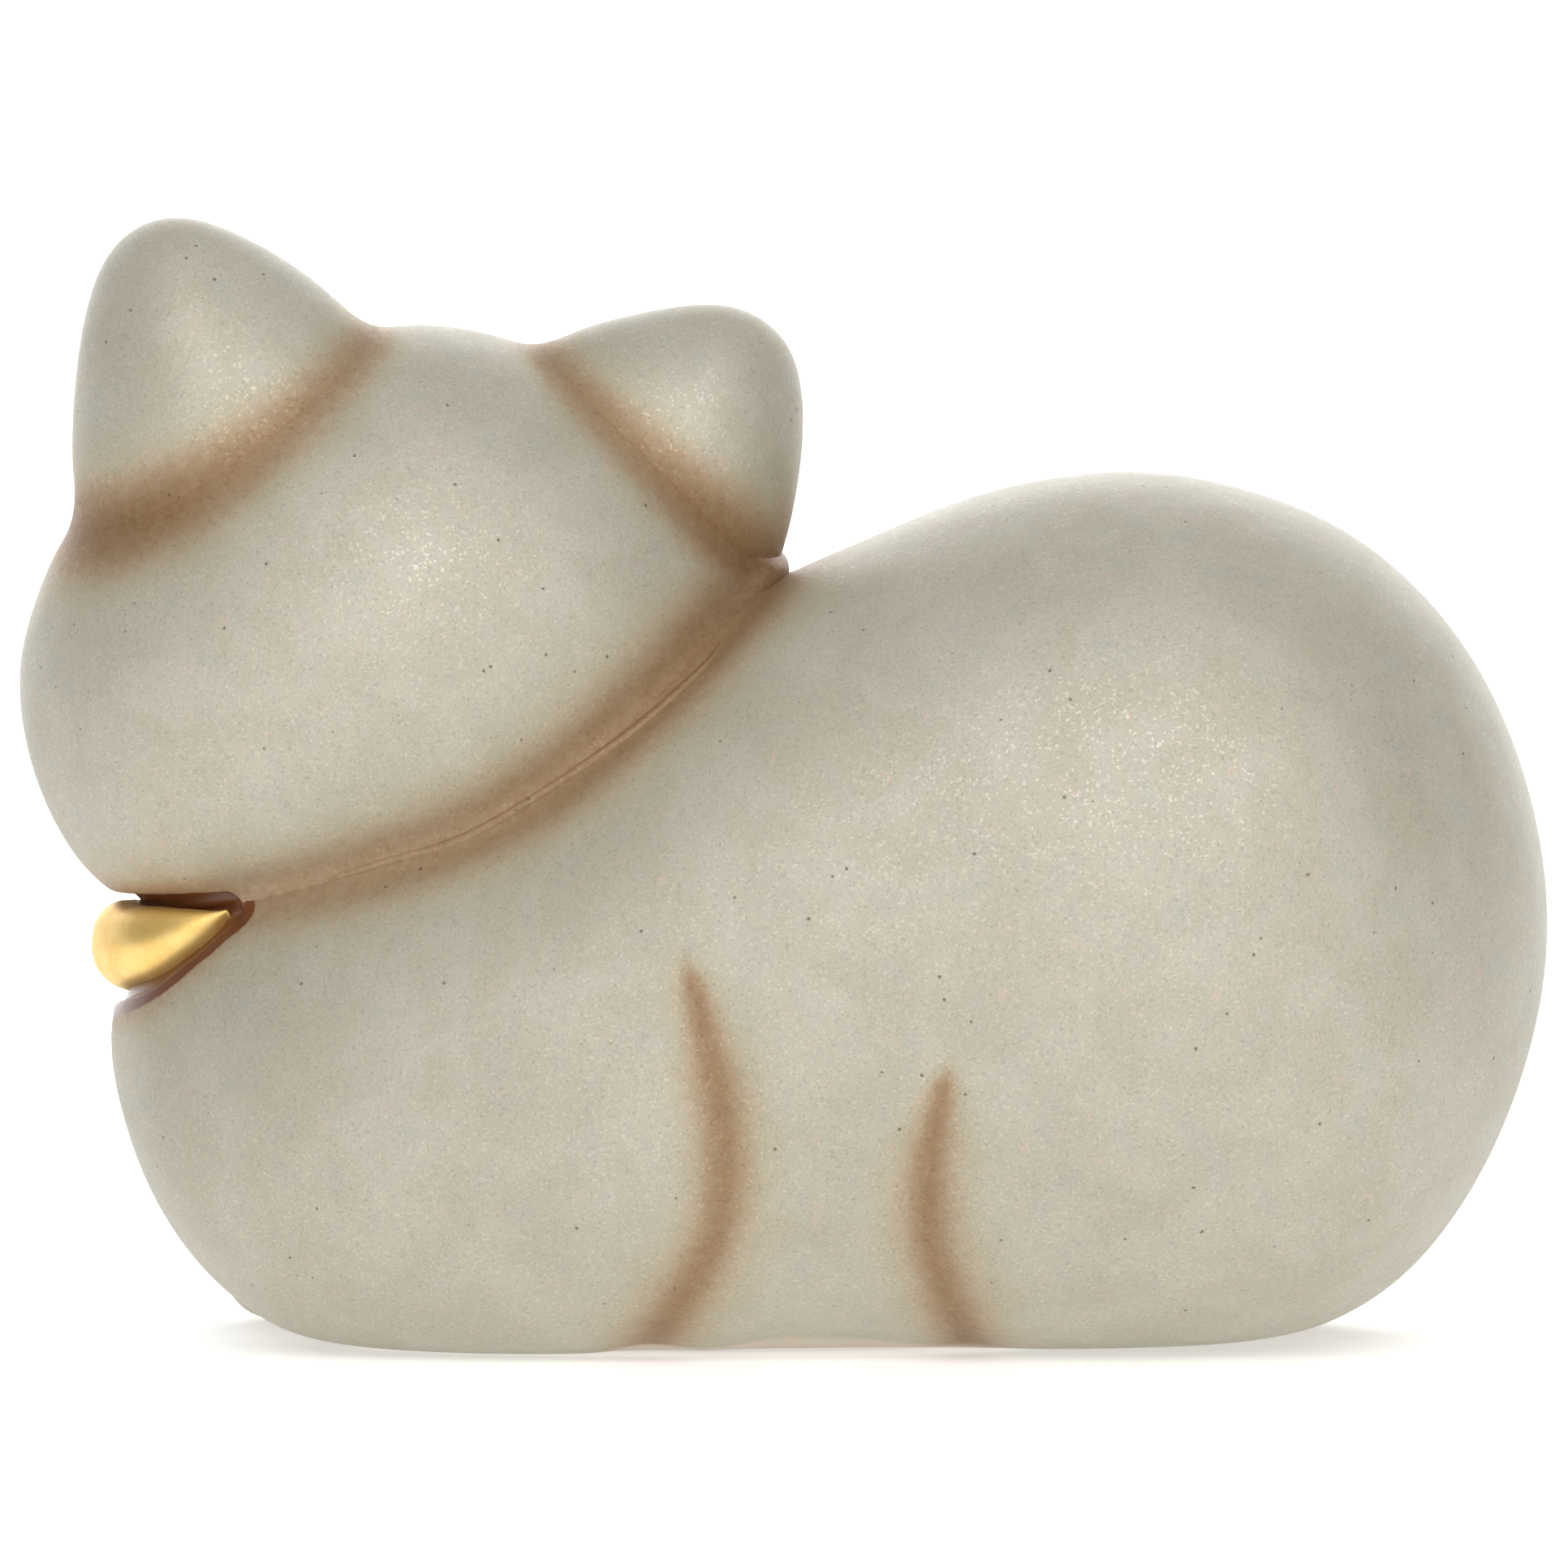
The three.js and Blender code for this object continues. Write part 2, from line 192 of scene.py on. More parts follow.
def distanceToLine(p, line):
    gap = np.full(len(p), 1e9)
    for a, b in zip(line[:-1], line[1:]):
        run = b - a
        t = np.clip(((p - a) @ run) / max(run @ run, 1e-9), 0, 1)
        gap = np.minimum(gap, np.linalg.norm(p - a - t[:, None] * run, axis=1))
    return gap


def fillet(gap, size):
    # gap: how much nearer a piece is than its neighbour. The skin rises into the valley and,
    # once past it, dives smoothly under the neighbour.
    rise = size / 4 * (1 - gap / size) ** 2
    dive = np.maximum(size / 4 - gap / 2 - gap ** 2 / (2 * size), 0)
    return np.where(gap > size, 0, np.where(gap > 0, rise, dive))


def smoothMax(a, b, size):
    h = np.clip(size - np.abs(a - b), 0, None)
    return np.maximum(a, b) + h * h / (4 * size)


def unionOf(masses, size):
    def field(p):
        gap = masses[0].distance(p)
        for mass in masses[1:]:
            gap = -smoothMax(-gap, -mass.distance(p), size)
        return gap
    return field


def gradient(field, p, step=0.1):
    return np.column_stack([(field(p + way * step) - field(p - way * step)) / (2 * step)
                            for way in np.eye(3)])


def dropOnto(field, p, rounds=8):
    for _ in range(rounds):
        slope = gradient(field, p)
        step = np.clip(field(p) / np.maximum((slope ** 2).sum(1), 0.2), -2, 2)
        p = p - step[:, None] * slope
    return p


def outward(field, p):
    slope = gradient(field, p)
    return slope / np.linalg.norm(slope, axis=1)[:, None]


def bell(x):
    return np.exp(-x ** 2)


bodyShape = {
    "centre": (6, 0, 36),
    "roundness": 2.4,
    "side": [
        (-66, 32), (-64.6, 22.3), (-60.6, 12.8), (-54, 5), (-44, -0.4), (-27.5, -3), (-8, -2),
        (10, -1.2), (30, -1.4), (47, 0.4), (59, 5.6), (67.4, 15.5), (73, 28.7), (75, 42), (72.7, 56),
        (67, 68.5), (58.3, 77.9), (48, 83.3), (34.5, 85.9), (20.2, 83.9), (5.9, 78.2),
        (-1, 75), (-12, 67.2), (-24, 58.5), (-38, 52.6), (-52, 47.4), (-62, 41.2),
    ],
    "plan": [
        (-66, 0), (-62.5, 14), (-54, 24), (-42, 31), (-25, 36), (-5, 39), (15, 41.3), (33, 42.3),
        (50, 40), (63, 32), (72, 18), (75, 0),
    ],
    "footRound": 3.0,
    "elbowFold": [(-9.6, 42), (-8, 35), (-6.2, 27), (-5.6, 19.5), (-7, 11.5), (-13.5, 0)],
    "haunchFold": [(16.2, 32), (14.8, 25), (13.8, 18), (14.6, 10.4), (18.4, 0)],
    "foldDepth": 0.9,
    "foldWidth": 3.2,
    "foldTop": 38,
    "foldRun": 14,
    "bellyDepth": 1.3,
    "wall": 4.2,
    "floor": 5.5,
    "ventPlace": (-8, 0),
    "ventRadius": 5,
    "recessHalf": (24, 9),
    "recessDepth": 1.2,
    "bareClayHalf": (34, 16),
    "cuts": 92,
    "reach": 95,
    "roomCuts": 44,
    "roomReach": 90,
}

headShape = {
    "centre": (-38, 0, 70),
    "depth": 31,
    "roundness": 2.1,
    "outline": [
        (-66, 44.6), (-72.7, 54.1), (-75, 65), (-73.3, 73.2), (-69.5, 81), (-61, 90), (-50, 97),
        (-40.2, 99.9), (-32.3, 100.1), (-23.7, 97.7), (-13, 92), (-5, 84), (-1.5, 75), (-3, 65),
        (-10, 54.5), (-22, 45.5), (-36, 41), (-52, 40.2),
    ],
    "muzzle": (-39, 57.5),
    "muzzleWidth": 9,
    "muzzleSwell": 0.6,
    "cuts": 82,
    "reach": 60,
}

leftEarShape = {
    "centre": (-53.5, -7, 88),
    "heart": (-57, -6, 96),
    "depth": 15,
    "roundness": 2,
    "outline": [
        (-68.9, 82.8), (-69.2, 92), (-67.9, 101.8), (-65.2, 108.2), (-59.7, 111), (-53, 109),
        (-46.6, 105.2), (-40.5, 99.5), (-36.5, 91), (-42, 80), (-54, 72), (-65, 74),
    ],
    "dishCentre": (-57.5, 9.5, 99),
    "dishSize": (7.5, 6.5, 9.5),
    "cuts": 52,
    "reach": 45,
}

rightEarShape = {
    "centre": (-11.5, -3, 87.5),
    "heart": (-9.5, -3, 93),
    "depth": 13,
    "roundness": 2,
    "outline": [
        (-23.7, 97.7), (-18, 100.4), (-8.4, 102.3), (-3.7, 101.9), (0.7, 98.6), (2.1, 92.3),
        (1.7, 85.9), (0.5, 79.6), (-0.8, 76), (-6, 72), (-16, 73), (-24, 80), (-27.5, 90),
    ],
    "dishCentre": (-7, 12.5, 94.5),
    "dishSize": (7, 6.8, 7.5),
    "cuts": 52,
    "reach": 45,
}

pawShapes = {
    "leftFrontPaw": {"centre": (-47.1, 33, 7), "size": (9.9, 13.2, 8.3), "toes": (-50.2, -44)},
    "rightFrontPaw": {"centre": (-24, 35, 7), "size": (10.3, 13.2, 8.3), "toes": (-27.2, -20.8)},
    "hindPaw": {"centre": (10, 36, 6.4), "size": (12.2, 9.8, 7.6), "toes": (6.8, 13.2)},
}
pawCuts = 46
pawReach = 20
toeDepth = 1.1
toeWidth = 0.9

tailShape = {
    "line": [(55, 10, 14), (56, 24, 9.2), (48, 34, 7.4), (38, 39.5, 6.8), (29, 41, 6.6)],
    "radius": 7.2,
    "taper": 0.18,
    "massSteps": 60,
    "tipSteps": 8,
    "rings": 90,
    "tipRings": 14,
    "sides": 56,
    "reach": 14,
}

seams = {
    "neck": 3.6,
    "ear": 3.2,
    "nape": 1.6,
    "limb": 3.0,
    "overlap": 3.0,
}


class EarMass(Puffed):
    def __init__(self, shape):
        super().__init__(shape)
        self.dish = Ellipsoid(shape["dishCentre"], shape["dishSize"])

    def distance(self, p):
        return smoothMax(self.base(p), -self.dish.distance(p), 3.0)


class StandingMass(Mass):
    # The ground cuts the underside flat, with a rounded edge.
    footRound = 2.0

    def distance(self, p):
        return smoothMax(self.base(p), -p[:, 2], self.footRound)


class BodyMass(StandingMass, Lofted):
    footRound = bodyShape["footRound"]


class PawMass(StandingMass, Ellipsoid):
    pass


bodyMass = BodyMass(bodyShape)
headMass = Puffed(headShape)
leftEarMass = EarMass(leftEarShape)
rightEarMass = EarMass(rightEarShape)
pawMasses = {name: PawMass(shape["centre"], shape["size"]) for name, shape in pawShapes.items()}
tailCurve = smoothCurve(tailShape["line"], tailShape["massSteps"])
tailRadius = tailShape["radius"] * (1 - tailShape["taper"] * np.linspace(0, 1, len(tailCurve)))
tailMass = Bar(tailCurve[:-tailShape["tipSteps"]], tailRadius[:-tailShape["tipSteps"]])
neckField = unionOf([bodyMass, headMass], seams["neck"])

neckerchief = {
    "upper": [
        (-53.8, -1, 43.4), (-58, -1, 43.5), (-62, -1, 43.6), (-64.8, 0, 43.7), (-62, 1, 43.6),
        (-58, 1, 43.6), (-52.5, 1, 44), (-45.8, 1, 45.5), (-38.8, 1, 47.8), (-29.3, 1, 50.8),
        (-21, 1, 55.8), (-14, 1, 61), (-8.5, 1, 66),
    ],
    "lower": [
        (-53.8, -1, 43.4), (-58.2, -1, 39.4), (-62.2, -1, 36.8), (-65.4, 0, 35.2), (-62.4, 1, 33.6),
        (-58, 1, 32.2), (-51, 1, 31.2), (-43, 1, 32.2), (-35, 1, 36.2), (-27.5, 1, 42),
        (-20, 1, 49.5), (-13.5, 1, 57.8), (-8.5, 1, 66),
    ],
    "puff": 3.0,
    "puffByWidth": 0.36,
    "sink": 1.0,
    "thickness": 1.2,
    "grooveDepth": 1.0,
    "grooveWidth": 1.6,
    "grooveWall": 0.5,
    "fineZone": 3.4,
    "rows": 260,
    "columns": 34,
}


def lineOn(field, points, count):
    # Each point is on the back, the edge or the face side, as its middle number says.
    placed = []
    for x, side, z in points:
        y = np.linspace(0, 45, 600)
        ray = np.column_stack([np.full(600, x), y * (side or 1), np.full(600, z)])
        outside = field(ray) > 0
        placed.append(ray[outside.argmax()] if side else (x, 0, z))
    return dropOnto(field, smoothCurve(placed, count))


upperRim = lineOn(neckField, neckerchief["upper"], neckerchief["rows"])
lowerRim = lineOn(neckField, neckerchief["lower"], neckerchief["rows"])
scarfRim = np.vstack([upperRim[::3], lowerRim[::-3]])


def scarfGap(p):
    # Distance to the neckerchief's edge, worked out only near it.
    gap = np.full(len(p), 50.0)
    near = np.flatnonzero((p[:, 0] < 4) & (p[:, 2] > 18) & (p[:, 2] < 80))
    gap[near] = distanceToLine(p[near], scarfRim)
    return gap


def grooveRelief(p):
    # A flat-bottomed groove with a steep outer wall.
    inside = (neckerchief["grooveWidth"] - scarfGap(p)) / neckerchief["grooveWall"] + 0.5
    inside = np.clip(inside, 0, 1)
    return neckerchief["grooveDepth"] * inside * inside * (3 - 2 * inside)


def foldGap(p, fold):
    return distanceToLine(p[:, [0, 2]], smoothCurve(bodyShape[fold], 24))


def bodyRelief(p):
    # Where the legs are folded the clay is pressed in, and the belly is drawn in between them.
    gap = np.minimum(foldGap(p, "elbowFold"), foldGap(p, "haunchFold"))
    flank = np.clip((np.abs(p[:, 1]) - 8) / 10, 0, 1)
    between = np.exp(-((p[:, 0] - 4.5) / 9) ** 4) * np.clip((34 - p[:, 2]) / 22, 0, 1) ** 1.5
    rising = np.clip((bodyShape["foldTop"] - p[:, 2]) / bodyShape["foldRun"], 0, 1)
    folds = bodyShape["foldDepth"] * bell(gap / bodyShape["foldWidth"]) * rising
    return flank * (folds + bodyShape["bellyDepth"] * between) + grooveRelief(p)


def headRelief(p):
    x, z = headShape["muzzle"]
    face = np.clip(p[:, 1] / 10, 0, 1)
    away = np.hypot(p[:, 0] - x, (p[:, 2] - z) * 1.3) / headShape["muzzleWidth"]
    return grooveRelief(p) - headShape["muzzleSwell"] * face * bell(away)


def pawRelief(name):
    shape = pawShapes[name]

    def relief(p):
        front = np.clip((p[:, 1] - shape["centre"][1] + 2) / 6, 0, 1)
        return toeDepth * front * sum(bell((p[:, 0] - toe) / toeWidth) for toe in shape["toes"])
    return relief


print("masses and rim ready")


def directionBall(cuts):
    ball = bmesh.new()
    bmesh.ops.create_cube(ball, size=2)
    bmesh.ops.subdivide_edges(ball, edges=ball.edges[:], cuts=cuts, use_grid_fill=True)
    for vert in ball.verts:
        vert.co = Vector([math.tan(c * math.pi / 4) for c in vert.co]).normalized()
    return ball


def bisect(low, high, isInside, rounds):
    for _ in range(rounds):
        middle = (low + high) / 2
        inside = isInside(middle)
        low = np.where(inside, middle, low)
        high = np.where(inside, high, middle)
    return (low + high) / 2


def settle(own, neighbours, origin, way, reach, host=None):
    # Sends points out along their ways to the piece's skin, flared into its neighbours, and
    # ends the piece a little inside the host that it is luted to.
    origin = np.broadcast_to(origin, way.shape)

    def place(t, rows=slice(None)):
        return origin[rows] + way[rows] * t[:, None]

    start = np.zeros(len(way))
    t = bisect(start, start + reach, lambda m: own.distance(place(m)) < 0, 18)
    skin = place(t)
    close = np.zeros(len(way), bool)
    for mass, size in neighbours:
        close |= np.abs(mass.distance(skin)) < 1.5 * size
    rows = np.flatnonzero(close)

    def flared(m):
        p = place(m, rows)
        mine = own.distance(p)
        return mine < sum(fillet(mass.distance(p) - mine, size) for mass, size in neighbours)

    t[rows] = bisect(t[rows] - 1, t[rows] + 6, flared, 14)
    if host is not None:
        above = host.distance(origin) > -seams["overlap"]
        deep = np.flatnonzero(above & (host.distance(place(t)) < -seams["overlap"]))
        t[deep] = bisect(start[deep], t[deep],
                         lambda m: host.distance(place(m, deep)) > -seams["overlap"], 16)
    return place(t)


def ballSkin(own, neighbours, cuts, reach, heart=None, host=None, fineZone=None):
    heart = own.centre if heart is None else np.array(heart, float)
    ball = directionBall(max(10, round(cuts * fineness)))

    def skinNow():
        way = np.array([vert.co for vert in ball.verts])
        way /= np.linalg.norm(way, axis=1)[:, None]
        return settle(own, neighbours, heart, way, reach, host)

    skin = skinNow()
    if fineZone is not None:
        fine = fineZone(skin)
        ball.verts.index_update()
        edges = [edge for edge in ball.edges if all(fine[vert.index] for vert in edge.verts)]
        bmesh.ops.subdivide_edges(ball, edges=edges, cuts=3, use_grid_fill=True)
        skin = skinNow()
    ball.verts.index_update()
    faces = [[vert.index for vert in face.verts] for face in ball.faces]
    ball.free()
    return skin, faces


def pressIn(skin, mass, depth):
    return skin - outward(mass.distance, skin) * depth[:, None]


def ringFaces(count, sides):
    # Faces over rings of points, which end in one point at each end.
    faces = []
    first, last = count * sides, count * sides + 1
    for j in range(sides):
        k = (j + 1) % sides
        for i in range(count - 1):
            faces.append((i * sides + j, i * sides + k, (i + 1) * sides + k, (i + 1) * sides + j))
        faces.append((first, k, j))
        faces.append((last, (count - 1) * sides + j, (count - 1) * sides + k))
    return faces


def ovalBar(curve, up, width, height, sides=18):
    # A rounded bar of oval section along a curve. Width and height are half sizes at each point.
    along = np.gradient(curve, axis=0)
    along /= np.linalg.norm(along, axis=1)[:, None]
    across = np.cross(along, up)
    across /= np.linalg.norm(across, axis=1)[:, None]
    turn = np.linspace(0, 2 * np.pi, sides, endpoint=False)
    rings = (curve[:, None] + across[:, None] * (width[:, None] * np.cos(turn))[..., None]
             + up[:, None] * (height[:, None] * np.sin(turn))[..., None])
    points = np.vstack([rings[1:-1].reshape(-1, 3), curve[:1], curve[-1:]])
    return points, ringFaces(len(curve) - 2, sides)


shift = np.zeros(3)


def meshOf(name, points, faces):
    mesh = bpy.data.meshes.new(name)
    mesh.from_pydata(((points + shift) * mm).tolist(), [], faces)
    tidy = bmesh.new()
    tidy.from_mesh(mesh)
    bmesh.ops.recalc_face_normals(tidy, faces=tidy.faces)
    tidy.to_mesh(mesh)
    tidy.free()
    piece = bpy.data.objects.new(name, mesh)
    bpy.context.scene.collection.objects.link(piece)
    return piece


def carve(piece, cutters):
    for cutter in cutters:
        cut = piece.modifiers.new("cut", "BOOLEAN")
        cut.operation = "DIFFERENCE"
        cut.solver = "MANIFOLD"
        cut.object = cutter
    bpy.context.view_layer.update()
    evaluated = piece.evaluated_get(bpy.context.evaluated_depsgraph_get())
    carved = bpy.data.meshes.new_from_object(evaluated)
    piece.modifiers.clear()
    piece.data = carved
    for cutter in cutters:
        bpy.data.objects.remove(cutter)


def pointsOf(piece):
    flat = np.empty(len(piece.data.vertices) * 3)
    piece.data.vertices.foreach_get("co", flat)
    return flat.reshape(-1, 3) / mm - shift


def finishPiece(piece, node, material, paint=None):
    mesh = piece.data
    mesh.polygons.foreach_set("use_smooth", [True] * len(mesh.polygons))
    mesh.materials.clear()
    mesh.materials.append(material)
    for key, values in (paint or {}).items():
        layer = mesh.attributes.new(key, "FLOAT", "POINT")
        layer.data.foreach_set("value", np.asarray(values, np.float32))
    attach(piece, "root")
    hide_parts(node)


def tint(red, green, blue):
    # A display colour, 0 to 255, as the linear values that the nodes take.
    channels = [c / 255 for c in (red, green, blue)]
    return [c / 12.92 if c <= 0.04045 else ((c + 0.055) / 1.055) ** 2.4 for c in channels] + [1]


class Wire:
    def __init__(self, finish, socket):
        self.finish = finish
        self.socket = socket

    def maths(self, operation, other=0.0, swapped=False):
        values = (other, self) if swapped else (self, other)
        return self.finish.node("ShaderNodeMath", {"operation": operation}, dict(enumerate(values)))

    def __add__(self, other):
        return self.maths("ADD", other)

    def __radd__(self, other):
        return self.maths("ADD", other, True)

    def __sub__(self, other):
        return self.maths("SUBTRACT", other)

    def __rsub__(self, other):
        return self.maths("SUBTRACT", other, True)

    def __mul__(self, other):
        return self.maths("MULTIPLY", other)

    def __rmul__(self, other):
        return self.maths("MULTIPLY", other, True)

    def clamped(self):
        return self.maths("MAXIMUM", 0).maths("MINIMUM", 1)


class Finish:
    def __init__(self, owner):
        owner.use_nodes = True
        self.owner = owner
        self.tree = owner.node_tree
        self.tree.nodes.clear()
        # Where a point of the clay is, in millimetres.
        place = self.node("ShaderNodeTexCoord", out="Object")
        self.place = self.node("ShaderNodeVectorMath", {"operation": "SCALE"}, {0: place, "Scale": 1 / mm})

    def node(self, kind, settings=None, values=None, out=0):
        made = self.tree.nodes.new(kind)
        for key, value in (settings or {}).items():
            if key == "stops":
                ramp = made.color_ramp
                while len(ramp.elements) < len(value):
                    ramp.elements.new(1)
                for element, (position, colour) in zip(ramp.elements, value):
                    element.position = position
                    element.color = colour
            else:
                setattr(made, key, value)
        for key, value in (values or {}).items():
            if isinstance(value, Wire):
                self.tree.links.new(value.socket, made.inputs[key])
            else:
                made.inputs[key].default_value = value
        return Wire(self, made.outputs[out]) if made.outputs else None

    def noise(self, scale, detail=2.0, roughness=0.5, distortion=0.0):
        return self.node("ShaderNodeTexNoise", {}, {
            "Vector": self.place, "Scale": scale, "Detail": detail, "Roughness": roughness,
            "Distortion": distortion})

    def cells(self, scale, out="Distance"):
        return self.node("ShaderNodeTexVoronoi", {}, {"Vector": self.place, "Scale": scale}, out)

    def channel(self, colour, name):
        return self.node("ShaderNodeSeparateColor", {}, {"Color": colour}, name)

    def stretch(self, value, low, high, newLow=0.0, newHigh=1.0, curve="SMOOTHSTEP"):
        return self.node("ShaderNodeMapRange", {"interpolation_type": curve}, {
            "Value": value, "From Min": low, "From Max": high, "To Min": newLow, "To Max": newHigh})

    def blend(self, mask, under, over, mode="MIX"):
        settings = {"data_type": "RGBA", "blend_type": mode}
        return self.node("ShaderNodeMix", settings, {0: mask, 6: under, 7: over}, 2)

    def painted(self, name):
        return self.node("ShaderNodeAttribute", {"attribute_name": name}, out="Fac")

    def bump(self, height, distance):
        return self.node("ShaderNodeBump", {}, {
            "Height": height, "Distance": distance * mm, "Strength": 1.0})

    def shader(self, values):
        surface = self.node("ShaderNodeBsdfPrincipled", {}, values)
        self.node("ShaderNodeOutputMaterial", {}, {"Surface": surface})
        return self.owner


# The measure that draws the brown line falls to nothing this far from the neckerchief, on the head.
linePaintReach = 4

pearlGlaze = {
    "pearl": (179, 173, 155),
    "pale": (185, 180, 164),
    "bluish": (176, 174, 165),
    "rosy": (194, 176, 163),
    "fleck": (84, 68, 50),
    "brownThin": (184, 164, 116),
    "brownMid": (153, 116, 70),
    "brownFull": (102, 67, 36),
    "line": (104, 58, 28),
    "clay": (206, 196, 180),
    "cloudScale": 0.12,
    "patchScale": 0.3,
    "blushScale": 0.55,
    "grainScale": 4.2,
    "grainContrast": 0.15,
    "fleckScale": 0.7,
    "roughness": 0.55,
    "lineRoughness": 0.35,
    "clayRoughness": 0.8,
    "metallic": 0.28,
    "coat": 0.16,
    "coatRoughness": 0.4,
    "lineWidth": 1.9,
}


def makePearlGlaze():
    look = pearlGlaze
    f = Finish(bpy.data.materials.new("pearlGlaze"))
    cloud = f.noise(look["cloudScale"], 3, 0.55, 0.4)
    patch = f.noise(look["patchScale"], 3, 0.6)
    blush = f.noise(look["blushScale"], 2, 0.5, 0.3)
    grain = f.noise(look["grainScale"], 3, 0.75)
    mica = f.channel(f.cells(look["grainScale"], "Color"), "Red")
    glint = f.stretch(mica, 0.86, 0.98)
    dull = f.stretch(mica, 0.0, 0.14, 1, 0)
    base = f.blend(f.stretch(cloud, 0.35, 0.65), tint(*look["pearl"]), tint(*look["pale"]))
    base = f.blend(f.stretch(patch, 0.52, 0.7) * 0.45, base, tint(*look["bluish"]))
    base = f.blend(f.stretch(blush, 0.64, 0.74) * 0.6, base, tint(*look["rosy"]))

    # The brown is sprayed on, so its edge breaks up into the grain.
    sprayed = f.painted("airbrush")
    broken = (f.noise(0.9, 3, 0.65) - 0.5) * 0.18 + (grain - 0.5) * 0.3
    sprayed = sprayed + broken * f.stretch(sprayed, 0.02, 0.4)
    brown = f.node("ShaderNodeValToRGB", {"stops": [
        (0.1, tint(*look["brownThin"])), (0.5, tint(*look["brownMid"])), (0.95, tint(*look["brownFull"])),
    ]}, {"Fac": sprayed.clamped()}, "Color")
    covered = f.stretch(sprayed, 0.0, 0.85)
    base = f.blend(covered, base, brown)

    tone = f.stretch(grain, 0.25, 0.75, -look["grainContrast"], look["grainContrast"], "LINEAR")
    tone = tone + glint * 0.14 - dull * 0.13
    tone = 1 + tone * (1 + covered * 0.6)
    shade = f.node("ShaderNodeCombineColor", {}, {"Red": tone, "Green": tone, "Blue": tone})
    base = f.blend(1.0, base, shade, "MULTIPLY")
    rare = f.channel(f.cells(look["fleckScale"], "Color"), "Green")
    fleck = f.stretch(f.cells(look["fleckScale"]) + (grain - 0.5) * 0.2, 0.16, 0.08)
    fleck = fleck * f.stretch(rare, 0.93, 0.94)
    base = f.blend(fleck * 0.75, base, tint(*look["fleck"]))

    edge = f.painted("linePaint") + (f.noise(0.5, 2) - 0.5) * 0.5
    start = linePaintReach - look["lineWidth"]
    line = f.stretch(edge, start - 0.18, start + 0.12)
    base = f.blend(line, base, tint(*look["line"]))
    bare = f.painted("bareClay")
    base = f.blend(bare, base, tint(*look["clay"]))

    roughness = look["roughness"] + (grain - 0.5) * 0.2 - glint * 0.15
    roughness = roughness * (1 - line) + line * look["lineRoughness"]
    roughness = roughness * (1 - bare) + bare * look["clayRoughness"]
    metallic = (look["metallic"] + glint * 0.2) * (1 - line) * (1 - bare)
    height = f.noise(0.35, 2) * 0.14 + grain * 0.12
    normal = f.bump(height * (1 - line * 0.8), 0.3)
    return f.shader({
        "Base Color": base, "Roughness": roughness.clamped(), "Metallic": metallic,
        "Coat Weight": look["coat"] * (1 - bare), "Coat Roughness": look["coatRoughness"],
        "Normal": normal})


goldLustre = {
    "gold": (255, 221, 142),
    "shadow": (248, 208, 124),
    "sparkle": (250, 226, 160),
    "sparkleScale": 3.4,
    "roughness": 0.5,
    "metallic": 0.8,
}


def makeGoldLustre():
    look = goldLustre
    f = Finish(bpy.data.materials.new("goldLustre"))
    grain = f.noise(2.6, 3, 0.6)
    patch = f.noise(0.3, 2, 0.5)
    sparkle = f.channel(f.cells(look["sparkleScale"], "Color"), "Red")
    base = f.blend(f.stretch(patch, 0.35, 0.65), tint(*look["gold"]), tint(*look["shadow"]))
    base = f.blend(f.stretch(sparkle, 0.8, 1.0) * 0.4, base, tint(*look["sparkle"]))
    roughness = look["roughness"] + (grain - 0.5) * 0.16
    normal = f.bump(grain * 0.4 + patch * 0.1, 0.04)
    return f.shader({
        "Base Color": base, "Roughness": roughness.clamped(), "Metallic": look["metallic"],
        "Normal": normal})


brownGlaze = {
    "thin": (120, 78, 44),
    "thick": (70, 38, 17),
    "roughness": 0.22,
    "coat": 0.4,
    "coatRoughness": 0.12,
}


def makeBrownGlaze():
    look = brownGlaze
    f = Finish(bpy.data.materials.new("brownGlaze"))
    pool = f.noise(0.7, 2, 0.5)
    base = f.blend(f.stretch(pool, 0.35, 0.65), tint(*look["thin"]), tint(*look["thick"]))
    roughness = look["roughness"] + (f.noise(2.2, 2) - 0.5) * 0.12
    return f.shader({
        "Base Color": base, "Roughness": roughness.clamped(), "Coat Weight": look["coat"],
        "Coat Roughness": look["coatRoughness"], "Normal": f.bump(pool, 0.12)})


# How far each airbrushed band reaches, in millimetres of gap to the neighbour, and its strength.
# Two numbers together are a reach and a strength.
airbrush = {
    "neckHead": 7.6,
    "neckBody": 8.0,
    "neckCheek": 0.58,
    "neckNape": 0.68,
    "ear": 4.9,
    "earFaint": 0.62,
    # the ear band's strength at the lower corner: real brown plus painted crease shade
    "earDarkAndCreaseShade": 0.74,
    "foldCore": (1.8, 0.14),
    "foldSoft": (4.9, 0.5),
    "scarf": (6.0, 0.66),
    "limb": (2.4, 0.6),
    "dish": 0.45,
    "toe": 0.75,
    "lineOnBody": 1.4,  # how much wider the brown line is on the body than on the head
}


def band(gap, key):
    reach, strength = airbrush[key]
    return strength * bell(np.maximum(gap, 0) / reach)


def neckBand(p, gap, reach):
    # Softer along the cheek, strongest at the nape.
    nape = np.clip((p[:, 0] + 60) / 55, 0, 1)
    strength = airbrush["neckCheek"] + (airbrush["neckNape"] - airbrush["neckCheek"]) * nape ** 1.3
    return strength * bell(np.maximum(gap, 0) / (reach * (0.8 + 0.3 * nape)))


def earBand(p, gap, ear):
    # Darkest at the ear's lower corner: the real brown band is widest there, and its extra strength there
    # is painted crease shade.
    down = np.clip((ear.centre[2] + 8 - p[:, 2]) / 18, 0, 1)
    strength = airbrush["earFaint"] + (airbrush["earDarkAndCreaseShade"] - airbrush["earFaint"]) * down
    return strength * bell(np.maximum(gap, 0) / (airbrush["ear"] * (0.7 + 0.45 * down)))


